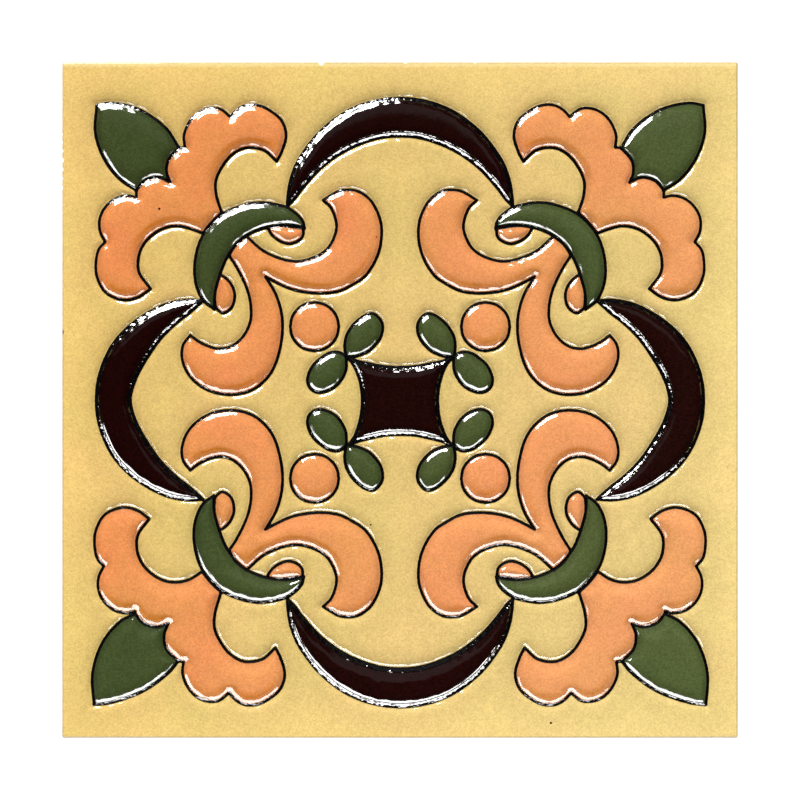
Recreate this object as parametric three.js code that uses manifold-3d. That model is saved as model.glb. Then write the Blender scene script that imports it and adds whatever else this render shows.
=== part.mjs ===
// Square glazed tile with a raised scroll and palmette ornament.
// Millimetres, +Z up. The tile lies on its flat back; the origin is the middle of the back.
// The motifs stand a little proud of the field, and a sunk line runs round each of them.
import * as THREE from 'three';
import Module from 'manifold-3d';

const SIDE = 150; // finished edge of the tile
const CORNER_RADIUS = 0.4; // vertical corners, seen from above
const FIELD_HEIGHT = 7.3; // flat ground between the motifs
const RELIEF_HEIGHT = 8.0; // top of the raised motifs
const LINE_FLOOR = 6.65; // bottom of the sunk line
const LINE_WIDTH = 0.7; // width of the sunk line at its floor
const FIELD_SLOPE = 0.6; // how far the field's soft edge reaches out from the line
const MOTIF_SLOPE = 0.75; // how far a motif's soft edge reaches in from the line
const ARRIS = 0.35; // rounding of the tile's upper edge
const BACK_CHAMFER = 0.5;
const LONGEST_CHORD = 5; // longest straight piece of a curved outline
const LARGEST_TURN = 26 * Math.PI / 180; // most that an outline turns in one piece
const DISC_RADIUS = 5.4;
const DISC_X = 19.0;
const DISC_Y_UPPER = 16.3;
const DISC_Y_LOWER = 17.4;

const glaze = new THREE.MeshStandardMaterial({ color: 0xe3c26c, roughness: 0.45, metalness: 0 });

// Outlines of the left half. Each is a ring of smooth stretches that meet in corners; a stretch is
// a curve through the given points.
const leafUpper = [
  [[-67.4, 65.5], [-64.2, 66.0], [-57.6, 64.4], [-51.9, 60.3], [-49.1, 56.0]],
  [[-49.1, 56.0], [-51.5, 53.1], [-51.8, 50.4], [-51.0, 48.3]],
  [[-51.0, 48.3], [-53.6, 49.4], [-56.6, 48.7], [-58.6, 46.6]],
  [[-58.6, 46.6], [-62.1, 48.9], [-65.6, 53.3], [-67.7, 59.3], [-67.4, 65.5]],
];

const leafLower = [
  [[-68.0, -67.7], [-64.5, -67.3], [-56.9, -64.6], [-51.1, -60.3], [-49.3, -58.0]],
  [[-49.3, -58.0], [-51.9, -55.3], [-52.4, -52.2], [-51.5, -49.7]],
  [[-51.5, -49.7], [-54.0, -50.4], [-57.1, -49.5], [-58.8, -47.5]],
  [[-58.8, -47.5], [-62.0, -49.1], [-66.0, -53.7], [-68.3, -60.6], [-68.0, -67.7]],
];

const palmette = [
  [[-47.8, 56.1], [-48.0, 58.8], [-46.7, 61.9], [-44.7, 63.9], [-42.3, 64.8], [-39.9, 64.6],
    [-37.7, 62.9]],
  [[-37.7, 62.9], [-36.3, 64.4], [-34.2, 65.5], [-31.2, 65.4], [-28.3, 63.9], [-26.2, 61.9],
    [-25.3, 58.8], [-26.3, 55.1], [-27.4, 53.0]],
  [[-27.4, 53.0], [-30.3, 55.5], [-34.3, 56.0], [-37.3, 54.5], [-39.4, 52.0], [-40.9, 48.7],
    [-40.8, 45.5], [-39.6, 41.6]],
  [[-39.6, 41.6], [-41.8, 39.5], [-43.8, 37.0]],
  [[-43.8, 37.0], [-46.5, 38.0], [-49.0, 38.6], [-51.6, 38.4], [-54.1, 37.3], [-56.4, 35.3],
    [-57.7, 33.1], [-58.2, 30.7], [-57.9, 28.2], [-55.4, 24.7]],
  [[-55.4, 24.7], [-58.0, 22.9], [-60.8, 22.2], [-63.6, 22.8], [-65.7, 24.2], [-67.4, 27.7],
    [-67.5, 31.2], [-66.9, 33.5], [-65.5, 35.1]],
  [[-65.5, 35.1], [-66.6, 37.3], [-66.8, 39.6], [-66.2, 41.7], [-64.8, 43.6], [-62.9, 44.9],
    [-60.4, 45.4], [-58.6, 45.0]],
  [[-58.6, 45.0], [-58.6, 46.6]],
  [[-58.6, 46.6], [-56.6, 48.7], [-53.6, 49.4], [-51.0, 48.3]],
  [[-51.0, 48.3], [-51.8, 50.4], [-51.5, 53.1], [-49.1, 56.0]],
  [[-49.1, 56.0], [-47.8, 56.1]],
];

const crescent = [
  [[-21.2, 38.1], [-21.6, 39.7], [-22.8, 41.2], [-24.7, 42.6], [-27.2, 43.4], [-30.9, 43.9],
    [-34.8, 43.3], [-39.6, 41.2], [-43.7, 36.8], [-45.5, 31.3], [-45.4, 26.0], [-43.7, 22.1],
    [-41.2, 20.1]],
  [[-41.2, 20.1], [-41.1, 23.6], [-40.1, 27.5], [-38.4, 31.7], [-35.7, 35.2], [-32.3, 37.4],
    [-27.2, 38.7], [-21.2, 38.1]],
];

const upperBud = [
  [[-29.5, 38.3], [-27.2, 38.7], [-24.5, 38.8], [-21.5, 38.3]],
  [[-21.5, 38.3], [-21.6, 36.4], [-22.7, 35.3], [-24.5, 34.7], [-26.5, 35.2], [-28.3, 36.5],
    [-29.5, 38.3]],
];

const lowerBud = [
  [[-41.0, 20.5], [-41.1, 23.6], [-40.0, 27.9]],
  [[-40.0, 27.9], [-38.7, 27.1], [-37.5, 25.7], [-36.8, 24.0], [-36.8, 22.2], [-37.5, 20.4],
    [-39.4, 19.3], [-41.0, 20.5]],
];

const scroll = [
  [[-34.1, 36.4], [-30.6, 33.3], [-28.1, 32.0], [-25.4, 31.1], [-22.7, 30.8], [-20.2, 31.3],
    [-17.5, 32.5], [-15.6, 34.3], [-14.1, 38.4], [-15.3, 42.6], [-17.1, 44.4]],
  [[-17.1, 44.4], [-13.6, 46.4], [-11.6, 46.7], [-9.7, 46.5], [-7.8, 45.5], [-6.1, 43.8],
    [-4.2, 39.1], [-4.7, 32.9], [-7.6, 27.7], [-10.4, 25.7], [-13.5, 24.2], [-17.4, 23.7],
    [-21.4, 24.0], [-24.3, 24.7], [-26.9, 25.8], [-29.9, 27.4]],
  [[-29.9, 27.4], [-27.6, 23.5], [-26.3, 19.1], [-26.2, 14.2], [-27.7, 7.9], [-29.6, 4.8],
    [-32.5, 2.4], [-35.9, 1.3], [-39.5, 1.3], [-42.7, 2.2], [-45.5, 4.0], [-47.6, 6.7],
    [-48.5, 9.9], [-48.1, 12.4], [-46.6, 14.4]],
  [[-46.6, 14.4], [-44.9, 13.1], [-42.7, 12.0], [-40.3, 11.4], [-37.8, 11.8], [-35.7, 13.2],
    [-34.1, 15.3], [-33.2, 17.7], [-33.1, 20.5], [-33.7, 23.8], [-34.9, 26.8], [-36.6, 30.0],
    [-38.0, 32.1]],
  [[-38.0, 32.1], [-36.5, 34.4], [-34.1, 36.4]],
];

const upperPetal = [
  [[-11.9, 9.5], [-12.3, 11.8], [-11.9, 14.3], [-10.5, 16.6], [-8.9, 18.1], [-7.4, 19.0],
    [-5.9, 19.2], [-4.7, 18.3], [-3.9, 16.9], [-3.9, 15.2], [-4.5, 13.5], [-6.6, 11.1],
    [-8.2, 10.2], [-9.7, 9.7], [-11.9, 9.5]],
];

const lowerPetal = [
  [[-11.9, 9.5], [-13.2, 10.5], [-14.4, 10.7], [-16.1, 10.3], [-17.6, 9.3], [-19.2, 7.9],
    [-20.2, 6.1], [-20.6, 4.4], [-20.2, 2.9], [-19.1, 1.9], [-17.8, 1.6], [-16.1, 2.0],
    [-14.3, 3.0], [-12.8, 4.8], [-12.0, 6.7], [-11.9, 9.5]],
];

const topOuter = [[-25.1, 43.0], [-24.9, 45.5], [-24.4, 48.6], [-23.0, 52.5], [-20.8, 56.0], [-18.1, 59.3],
  [-14.5, 62.4], [-10.3, 64.9], [-5.4, 66.5], [0, 67.1]];
const topInner = [[-25.1, 43.0], [-23.5, 44.6], [-21.6, 47.1], [-18.0, 51.1], [-13.6, 54.5], [-9.0, 56.8],
  [-4.5, 58.2], [0, 58.6]];
const sideOuter = [[-43.7, 22.1], [-47.6, 22.2], [-51.7, 21.4], [-55.8, 19.5], [-60.1, 16.5], [-63.6, 12.7],
  [-65.7, 8.8], [-67.1, 4.4], [-67.5, 0]];
const sideInner = [[-43.7, 22.1], [-46.7, 19.4], [-49.4, 17.3], [-53.0, 13.8], [-56.5, 8.8], [-58.6, 4.9],
  [-59.6, 2.0], [-59.9, 0]];

const centreTop = [[-11.8, 9.6], [-9.6, 8.7], [-7.3, 8.2], [-3.6, 7.5], [0, 7.3]];
const centreSide = [[-11.8, 9.6], [-10.7, 8.3], [-9.8, 6.7], [-8.8, 3.6], [-8.4, 0], [-8.8, -4.0],
  [-9.8, -7.3], [-10.7, -9.0], [-11.8, -10.3]];
const centreBottom = [[-11.8, -10.3], [-9.6, -9.3], [-7.3, -8.7], [-3.6, -7.9], [0, -7.7]];

const acrossX = (points) => points.map(([x, y]) => [-x, y]).reverse();
const acrossY = (points) => points.map(([x, y]) => [x, -y]).reverse();
const wholeAcrossX = (half) => [...half, ...acrossX(half).slice(1)];
const wholeAcrossY = (half) => [...half, ...acrossY(half).slice(1)];
const back = (points) => [...points].reverse();

// The lower half repeats the upper one upside down, slightly longer and further out.
function below(ring, stretch, shift, out = 0) {
  return ring.map((points) => points.map(([x, y]) => [x - out, -(y * stretch + shift)]));
}

// Samples a ring of stretches into one closed polygon, anticlockwise.
function trace(ring) {
  const polygon = [];
  for (const points of ring) {
    const path = points.map(([x, y]) => new THREE.Vector3(x, y, 0));
    if (path.length === 2) {
      polygon.push(new THREE.Vector2(path[0].x, path[0].y));
      continue;
    }
    const curve = new THREE.CatmullRomCurve3(path, false, 'centripetal');
    const spans = path.length - 1;
    for (let i = 0; i < spans; i += 1) {
      const start = curve.getTangent((i + 0.001) / spans);
      const turn = start.angleTo(curve.getTangent((i + 0.5) / spans))
        + curve.getTangent((i + 0.5) / spans).angleTo(curve.getTangent((i + 0.999) / spans));
      const steps = Math.max(1, Math.round(turn / LARGEST_TURN),
        Math.round(path[i].distanceTo(path[i + 1]) / LONGEST_CHORD));
      for (let j = 0; j < steps; j += 1) {
        const p = curve.getPoint((i + j / steps) / spans);
        polygon.push(new THREE.Vector2(p.x, p.y));
      }
    }
  }
  return THREE.ShapeUtils.isClockWise(polygon) ? polygon.reverse() : polygon;
}

// Moves every edge of a polygon outwards by the distance; sharp corners are cut short.
function offset(polygon, distance) {
  const count = polygon.length;
  return polygon.map((p, i) => {
    const before = p.clone().sub(polygon[(i + count - 1) % count]).normalize();
    const after = polygon[(i + 1) % count].clone().sub(p).normalize();
    const normal = new THREE.Vector2(before.y + after.y, -before.x - after.x);
    const share = Math.max(1 + before.dot(after), 0.35);
    return p.clone().addScaledVector(normal, distance / share);
  });
}

// A closed solid through a stack of polygons that have the same number of points. Both caps are
// divided into triangles in the way that suits the given outline.
function stack(outline, levels) {
  const count = outline.length;
  const positions = [];
  for (const { polygon, z } of levels) for (const p of polygon) positions.push(p.x, p.y, z);
  const index = [];
  for (let level = 0; level < levels.length - 1; level += 1) {
    for (let i = 0; i < count; i += 1) {
      const a = level * count + i;
      const b = level * count + ((i + 1) % count);
      index.push(a, b, b + count, a, b + count, a + count);
    }
  }
  const top = (levels.length - 1) * count;
  for (const [a, b, c] of THREE.ShapeUtils.triangulateShape(outline, [])) {
    index.push(top + a, top + b, top + c, c, b, a);
  }
  const geometry = new THREE.BufferGeometry();
  geometry.setAttribute('position', new THREE.Float32BufferAttribute(positions, 3));
  geometry.setIndex(index);
  return geometry;
}

const wasm = await Module();
wasm.setup();

function solid(geometry) {
  return new wasm.Manifold(new wasm.Mesh({
    numProp: 3,
    vertProperties: new Float32Array(geometry.attributes.position.array),
    triVerts: new Uint32Array(geometry.index.array),
  }));
}

function roundedSquare(inset) {
  const half = SIDE / 2 - inset;
  const radius = CORNER_RADIUS;
  const polygon = [];
  for (let corner = 0; corner < 4; corner += 1) {
    const turn = corner * Math.PI / 2;
    for (let step = 0; step <= 3; step += 1) {
      const angle = turn + step * Math.PI / 6;
      const x = half - radius + radius * Math.cos(angle - turn);
      const y = half - radius + radius * Math.sin(angle - turn);
      polygon.push(new THREE.Vector2(x * Math.cos(turn) - y * Math.sin(turn),
        x * Math.sin(turn) + y * Math.cos(turn)));
    }
  }
  return polygon;
}

const plate = solid(stack(roundedSquare(0), [
  { polygon: roundedSquare(BACK_CHAMFER), z: 0 },
  { polygon: roundedSquare(0), z: BACK_CHAMFER },
  { polygon: roundedSquare(0), z: FIELD_HEIGHT - ARRIS },
  { polygon: roundedSquare(ARRIS * 0.3), z: FIELD_HEIGHT - ARRIS * 0.3 },
  { polygon: roundedSquare(ARRIS), z: FIELD_HEIGHT },
]));

// The lower palmette lies against the lower crescent, and shares two scallops with its leaf.
const palmetteBelow = below(palmette.slice(0, 7), 1.012, 1.4, 0.3);
const againstCrescent = below([palmette[3]], 1, 1.1, 0.15)[0];
palmetteBelow[2].splice(-1, 1, againstCrescent[0]);
palmetteBelow[3] = againstCrescent;
palmetteBelow[4][0] = againstCrescent.at(-1);
palmetteBelow.push(
  [palmetteBelow[6].at(-1), leafLower[2].at(-1)],
  back(leafLower[2]),
  back(leafLower[1]),
  [leafLower[1][0], palmetteBelow[0][0]],
);

function disc(y) {
  const polygon = [];
  const steps = 24;
  for (let i = 0; i < steps; i += 1) {
    const angle = i * 2 * Math.PI / steps;
    const x = DISC_RADIUS * Math.cos(angle) - DISC_X;
    polygon.push(new THREE.Vector2(x, DISC_RADIUS * Math.sin(angle) + y));
  }
  return polygon;
}

const leftHalf = [
  leafUpper, leafLower,
  palmette, palmetteBelow,
  crescent, below(crescent, 1, 1.1, 0.15),
  upperBud, below(upperBud, 1, 1.1, 0.15),
  lowerBud, below(lowerBud, 1, 1.1, 0.15),
  scroll, below(scroll, 1.009, 1.1),
  upperPetal, below(upperPetal, 1.025, 0.4),
  lowerPetal, below(lowerPetal, 1.025, 0.4),
  [wholeAcrossY(sideOuter), back(wholeAcrossY(sideInner))],
].map(trace);
leftHalf.push(disc(DISC_Y_UPPER), disc(-DISC_Y_LOWER));

const topCrescent = [wholeAcrossX(topOuter), back(wholeAcrossX(topInner))];
const onAxis = [
  topCrescent,
  below(topCrescent, 1, 1.1),
  [wholeAcrossX(centreTop), back(acrossX(centreSide)), back(wholeAcrossX(centreBottom)),
    back(centreSide)],
].map(trace);
const rightHalf = leftHalf.map((polygon) => polygon.map((p) => new THREE.Vector2(-p.x, p.y)).reverse());
const motifs = [...leftHalf, ...rightHalf, ...onAxis];

const sunk = wasm.Manifold.union(motifs.map((polygon) => solid(stack(polygon, [
  { polygon: offset(polygon, LINE_WIDTH / 2), z: LINE_FLOOR },
  { polygon: offset(polygon, LINE_WIDTH / 2 + FIELD_SLOPE), z: FIELD_HEIGHT + 0.02 },
  { polygon: offset(polygon, LINE_WIDTH / 2 + FIELD_SLOPE), z: RELIEF_HEIGHT + 1 },
]))));
const raised = wasm.Manifold.union(motifs.map((polygon) => solid(stack(polygon, [
  { polygon: offset(polygon, -LINE_WIDTH / 2), z: LINE_FLOOR - 1 },
  { polygon: offset(polygon, -LINE_WIDTH / 2), z: LINE_FLOOR },
  { polygon: offset(polygon, -LINE_WIDTH / 2 - MOTIF_SLOPE), z: RELIEF_HEIGHT },
]))));
const body = plate.subtract(sunk).add(raised).getMesh();

const geometry = new THREE.BufferGeometry();
geometry.setAttribute('position', new THREE.BufferAttribute(new Float32Array(body.vertProperties), 3));
geometry.setIndex(new THREE.BufferAttribute(new Uint32Array(body.triVerts), 1));
geometry.computeVertexNormals();

const tile = new THREE.Mesh(geometry, glaze);
tile.name = 'tile';

const part = new THREE.Group();
part.add(tile);

export default part;
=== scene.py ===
"""A square glazed relief tile, lying on its back, seen from straight above.

The glazed face is one height field over the tile. Its height above the sunk line depends on how far
a point is from the nearest outline of the ornament, so every colour of glaze swells up between the
lines as a pool. The face is divided into one sheet for each glaze, and all of them lie on a body of
fired clay.
"""

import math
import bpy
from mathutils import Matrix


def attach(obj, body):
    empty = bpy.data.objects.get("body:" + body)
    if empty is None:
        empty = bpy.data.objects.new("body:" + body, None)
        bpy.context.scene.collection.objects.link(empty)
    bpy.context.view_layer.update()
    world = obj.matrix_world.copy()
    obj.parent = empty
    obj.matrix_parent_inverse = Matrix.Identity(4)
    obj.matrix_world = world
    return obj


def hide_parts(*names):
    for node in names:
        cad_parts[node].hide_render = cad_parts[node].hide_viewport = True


bl_info = {
    "name": "Relief Tile",
    "version": (1, 0, 0),
    "blender": (4, 5, 0),
    "location": "3D View > Sidebar > Tile",
    "description": "Builds a glazed relief tile with scrolls, palmettes, leaves and crescents",
    "category": "Add Mesh",
}

import bpy
import numpy as np
from bpy.props import FloatProperty, FloatVectorProperty, PointerProperty
from mathutils import Vector
from mathutils.geometry import delaunay_2d_cdt

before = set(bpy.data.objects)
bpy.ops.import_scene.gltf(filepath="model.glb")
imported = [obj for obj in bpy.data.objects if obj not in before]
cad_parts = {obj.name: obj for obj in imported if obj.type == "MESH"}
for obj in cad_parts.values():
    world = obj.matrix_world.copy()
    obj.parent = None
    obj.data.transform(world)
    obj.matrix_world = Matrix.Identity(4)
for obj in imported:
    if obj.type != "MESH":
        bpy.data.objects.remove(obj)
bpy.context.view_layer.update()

MM = 0.001
SIDE = 150.0  # mm, edge of the tile
RELIEF_HEIGHT = 8.0  # mm from the back to the highest point of the glaze
CORNER_RADIUS = 0.4  # mm, of the corners seen from above
STEP = 0.45  # mm between the points of an outline in the mesh
FINER = 4  # outline points that distances are measured to, for each one in the mesh
PIECES = 40  # straight pieces that each span of a curve is first divided into
FLANK_LOSS = 0.26  # share of its slope that a steep edge loses over its width
FACING = 1.3  # factor on a direction's southward part, so that nearly south counts in full

PHOTO_PIXELS, TILE_PIXELS = 800, 675.8  # widths of the photograph and of the tile in it
LENS, SENSOR = 135, 36  # mm, long enough to look straight down on the whole face

# The first colour is a painted highlight along the tile's north edge, the second paler fettled
# clay.
NORTH_EDGE_HIGHLIGHT, PALE_CLAY = "#ded09a", "#cda47c"
CHIP, NICK, SPECK = "#f4ecd8", "#4a2c14", "#1c1208"
DARK_SPECK, RED_SPECK = "#2a0d06", "#8c3312"

# Outlines of the left half in mm from the middle of the tile. A ring is a list of stretches that
# meet in corners, and a stretch is a smooth curve through its points.
LEAF_UPPER = [
    [(-67.4, 65.5), (-64.2, 66.0), (-57.6, 64.4), (-51.9, 60.3), (-49.1, 56.0)],
    [(-49.1, 56.0), (-51.5, 53.1), (-51.8, 50.4), (-51.0, 48.3)],
    [(-51.0, 48.3), (-53.6, 49.4), (-56.6, 48.7), (-58.6, 46.6)],
    [(-58.6, 46.6), (-62.1, 48.9), (-65.6, 53.3), (-67.7, 59.3), (-67.4, 65.5)],
]
LEAF_LOWER = [
    [(-68.0, -67.7), (-64.5, -67.3), (-56.9, -64.6), (-51.1, -60.3), (-49.3, -58.0)],
    [(-49.3, -58.0), (-51.9, -55.3), (-52.4, -52.2), (-51.5, -49.7)],
    [(-51.5, -49.7), (-54.0, -50.4), (-57.1, -49.5), (-58.8, -47.5)],
    [(-58.8, -47.5), (-62.0, -49.1), (-66.0, -53.7), (-68.3, -60.6), (-68.0, -67.7)],
]
PALMETTE = [
    [(-47.8, 56.1), (-48.0, 58.8), (-46.7, 61.9), (-44.7, 63.9), (-42.3, 64.8), (-39.9, 64.6),
     (-37.7, 62.9)],
    [(-37.7, 62.9), (-36.3, 64.4), (-34.2, 65.5), (-31.2, 65.4), (-28.3, 63.9), (-26.2, 61.9),
     (-25.3, 58.8), (-26.3, 55.1), (-27.4, 53.0)],
    [(-27.4, 53.0), (-30.3, 55.5), (-34.3, 56.0), (-37.3, 54.5), (-39.4, 52.0), (-40.9, 48.7),
     (-40.8, 45.5), (-39.6, 41.6)],
    [(-39.6, 41.6), (-41.8, 39.5), (-43.8, 37.0)],
    [(-43.8, 37.0), (-46.5, 38.0), (-49.0, 38.6), (-51.6, 38.4), (-54.1, 37.3), (-56.4, 35.3),
     (-57.7, 33.1), (-58.2, 30.7), (-57.9, 28.2), (-55.4, 24.7)],
    [(-55.4, 24.7), (-58.0, 22.9), (-60.8, 22.2), (-63.6, 22.8), (-65.7, 24.2), (-67.4, 27.7),
     (-67.5, 31.2), (-66.9, 33.5), (-65.5, 35.1)],
    [(-65.5, 35.1), (-66.6, 37.3), (-66.8, 39.6), (-66.2, 41.7), (-64.8, 43.6), (-62.9, 44.9),
     (-60.4, 45.4), (-58.6, 45.0)],
    [(-58.6, 45.0), (-58.6, 46.6)],
    [(-58.6, 46.6), (-56.6, 48.7), (-53.6, 49.4), (-51.0, 48.3)],
    [(-51.0, 48.3), (-51.8, 50.4), (-51.5, 53.1), (-49.1, 56.0)],
    [(-49.1, 56.0), (-47.8, 56.1)],
]
CRESCENT = [
    [(-21.2, 38.1), (-21.6, 39.7), (-22.8, 41.2), (-24.7, 42.6), (-27.2, 43.4), (-30.9, 43.9),
     (-34.8, 43.3), (-39.6, 41.2), (-43.7, 36.8), (-45.5, 31.3), (-45.4, 26.0), (-43.7, 22.1),
     (-41.2, 20.1)],
    [(-41.2, 20.1), (-41.1, 23.6), (-40.1, 27.5), (-38.4, 31.7), (-35.7, 35.2), (-32.3, 37.4),
     (-27.2, 38.7), (-21.2, 38.1)],
]
UPPER_BUD = [
    [(-29.5, 38.3), (-27.2, 38.7), (-24.5, 38.8), (-21.5, 38.3)],
    [(-21.5, 38.3), (-21.6, 36.4), (-22.7, 35.3), (-24.5, 34.7), (-26.5, 35.2), (-28.3, 36.5),
     (-29.5, 38.3)],
]
LOWER_BUD = [
    [(-41.0, 20.5), (-41.1, 23.6), (-40.0, 27.9)],
    [(-40.0, 27.9), (-38.7, 27.1), (-37.5, 25.7), (-36.8, 24.0), (-36.8, 22.2), (-37.5, 20.4),
     (-39.4, 19.3), (-41.0, 20.5)],
]
SCROLL = [
    [(-34.1, 36.4), (-30.6, 33.3), (-28.1, 32.0), (-25.4, 31.1), (-22.7, 30.8), (-20.2, 31.3),
     (-17.5, 32.5), (-15.6, 34.3), (-14.1, 38.4), (-15.3, 42.6), (-17.1, 44.4)],
    [(-17.1, 44.4), (-13.6, 46.4), (-11.6, 46.7), (-9.7, 46.5), (-7.8, 45.5), (-6.1, 43.8),
     (-4.2, 39.1), (-4.7, 32.9), (-7.6, 27.7), (-10.4, 25.7), (-13.5, 24.2), (-17.4, 23.7),
     (-21.4, 24.0), (-24.3, 24.7), (-26.9, 25.8), (-29.9, 27.4)],
    [(-29.9, 27.4), (-27.6, 23.5), (-26.3, 19.1), (-26.2, 14.2), (-27.7, 7.9), (-29.6, 4.8),
     (-32.5, 2.4), (-35.9, 1.3), (-39.5, 1.3), (-42.7, 2.2), (-45.5, 4.0), (-47.6, 6.7),
     (-48.5, 9.9), (-48.1, 12.4), (-46.6, 14.4)],
    [(-46.6, 14.4), (-44.9, 13.1), (-42.7, 12.0), (-40.3, 11.4), (-37.8, 11.8), (-35.7, 13.2),
     (-34.1, 15.3), (-33.2, 17.7), (-33.1, 20.5), (-33.7, 23.8), (-34.9, 26.8), (-36.6, 30.0),
     (-38.0, 32.1)],
    [(-38.0, 32.1), (-36.5, 34.4), (-34.1, 36.4)],
]
UPPER_PETAL = [
    [(-11.9, 9.5), (-12.3, 11.8), (-11.9, 14.3), (-10.5, 16.6), (-8.9, 18.1), (-7.4, 19.0),
     (-5.9, 19.2), (-4.7, 18.3), (-3.9, 16.9), (-3.9, 15.2), (-4.5, 13.5), (-6.6, 11.1),
     (-8.2, 10.2), (-9.7, 9.7), (-11.9, 9.5)],
]
LOWER_PETAL = [
    [(-11.9, 9.5), (-13.2, 10.5), (-14.4, 10.7), (-16.1, 10.3), (-17.6, 9.3), (-19.2, 7.9),
     (-20.2, 6.1), (-20.6, 4.4), (-20.2, 2.9), (-19.1, 1.9), (-17.8, 1.6), (-16.1, 2.0),
     (-14.3, 3.0), (-12.8, 4.8), (-12.0, 6.7), (-11.9, 9.5)],
]
TOP_OUTER = [(-25.1, 43.0), (-24.9, 45.5), (-24.4, 48.6), (-23.0, 52.5), (-20.8, 56.0),
             (-18.1, 59.3), (-14.5, 62.4), (-10.3, 64.9), (-5.4, 66.5), (0, 67.1)]
TOP_INNER = [(-25.1, 43.0), (-23.5, 44.6), (-21.6, 47.1), (-18.0, 51.1), (-13.6, 54.5),
             (-9.0, 56.8), (-4.5, 58.2), (0, 58.6)]
SIDE_OUTER = [(-43.7, 22.1), (-47.6, 22.2), (-51.7, 21.4), (-55.8, 19.5), (-60.1, 16.5),
              (-63.6, 12.7), (-65.7, 8.8), (-67.1, 4.4), (-67.5, 0)]
SIDE_INNER = [(-43.7, 22.1), (-46.7, 19.4), (-49.4, 17.3), (-53.0, 13.8), (-56.5, 8.8),
              (-58.6, 4.9), (-59.6, 2.0), (-59.9, 0)]
CENTRE_TOP = [(-11.8, 9.6), (-9.6, 8.7), (-7.3, 8.2), (-3.6, 7.5), (0, 7.3)]
CENTRE_SIDE = [(-11.8, 9.6), (-10.7, 8.3), (-9.8, 6.7), (-8.8, 3.6), (-8.4, 0), (-8.8, -4.0),
               (-9.8, -7.3), (-10.7, -9.0), (-11.8, -10.3)]
CENTRE_BOTTOM = [(-11.8, -10.3), (-9.6, -9.3), (-7.3, -8.7), (-3.6, -7.9), (0, -7.7)]
DISC_RADIUS = 5.4
DISC_CENTRES = [(-19.0, 16.3), (-19.0, -17.4)]

# How a lower outline differs from its upper one turned over: (stretch, mm down, mm out).
CRESCENT_BELOW = (1, 1.1, 0.15)
PETAL_BELOW = (1.025, 0.4)
PALMETTE_BELOW = (1.012, 1.4, 0.3)
SCROLL_BELOW = (1.009, 1.1)
TOP_BELOW = (1, 1.1)


def linear(hex_colour):
    """sRGB hex to linear RGB: c / 12.92 below 0.04045, otherwise ((c + 0.055) / 1.055) ** 2.4."""
    channels = [int(hex_colour[i:i + 2], 16) / 255 for i in (1, 3, 5)]
    return [c / 12.92 if c <= 0.04045 else ((c + 0.055) / 1.055) ** 2.4 for c in channels]


def colour_property(name, description, hex_colour):
    return FloatVectorProperty(name=name, description=description, subtype="COLOR", size=3,
                               min=0, max=1, default=linear(hex_colour))


def length_property(name, description, millimetres):
    return FloatProperty(name=name, description=description, default=millimetres * MM,
                         unit="LENGTH")


def slope_property(name, description, slope):
    return FloatProperty(name=name, description=description, default=slope)


class TileSizes(bpy.types.PropertyGroup):
    """Sizes of the relief, in metres, and slopes as rise over run."""

    line_floor: length_property(
        "Line floor", "Height of the middle of the sunk line above the back", 6.76)
    line_tilt: slope_property(
        "Line tilt", "Slope of the line's floor up towards the motif", 0.4)
    line_half_width: length_property("Half line", "Half the width of the black line", 0.35)
    brown_half_width: length_property(
        "Half line round brown", "Width of the black rim inside the brown pools", 0.75)
    ground_slope: slope_property("Ground slope", "Slope of the steep edge of the ground", 0.68)
    motif_slope: slope_property("Motif slope", "Slope of the steep edge of a motif", 0.84)
    ground_flank: length_property("Ground flank", "Width of the steep edge of the ground", 0.6)
    motif_flank: length_property("Motif flank", "Width of the steep edge of a motif", 0.55)
    brown_flank: length_property(
        "Brown flank", "Width of the steep edge of the thicker brown pools", 0.95)
    ground_swell: slope_property(
        "Ground swell", "Slope of the ground just beyond its shoulder", 0.08)
    motif_swell: slope_property(
        "Motif swell", "Slope of a motif just beyond its shoulder", 0.2)
    brown_swell: slope_property(
        "Brown swell", "Slope of brown glaze just beyond its shoulder", 0.08)
    shoulder: length_property(
        "Shoulder", "Width over which a steep edge rounds over into the swell", 0.45)
    reach: length_property("Reach", "How far in from its shoulder a pool keeps rising", 2.7)
    ground_sag: length_property(
        "Ground sag", "How far the ground steps down towards a line south of it", 0.09)
    motif_sag: length_property(
        "Motif sag", "How far a motif steps down towards its south edge", 0.2)
    sag_start: length_property(
        "Sag start", "Distance from the line at which the step begins", 1.2)
    sag_width: length_property("Sag width", "Width of the step", 1.2)
    arris: length_property("Arris", "Rounding of the tile's upper edge", 0.15)


class TileColours(bpy.types.PropertyGroup):
    """Colours of the glazes, the line and the clay. Each glaze gets paler towards the right:
    painted light.
    """

    mustard: colour_property("Mustard", "Glaze of the ground at the left", "#c3a561")
    # Each glaze's second colour is the same glaze with painted light, used towards the right.
    mustard_lit_right: colour_property("Pale mustard", "Glaze of the ground at the right", "#c7ae6f")
    terracotta: colour_property("Terracotta", "Glaze of the palmettes and scrolls", "#c27944")
    terracotta_lit_right: colour_property("Pale terracotta", "The same at the right", "#c78654")
    green: colour_property("Green", "Glaze of the leaves, crescents and petals", "#343e1f")
    green_lit_right: colour_property("Pale green", "The same at the right", "#454f2b")
    brown: colour_property("Brown", "Glaze of the four big crescents and the centre", "#160302")
    brown_lit_right: colour_property("Pale brown", "The same at the right", "#1b0705")
    line: colour_property("Line", "Waxed manganese line between the glazes", "#060506")
    clay: colour_property("Clay", "Fired body of the tile", "#b98a63")
    floor: colour_property("Floor", "Studio floor", "#fafafa")


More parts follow.
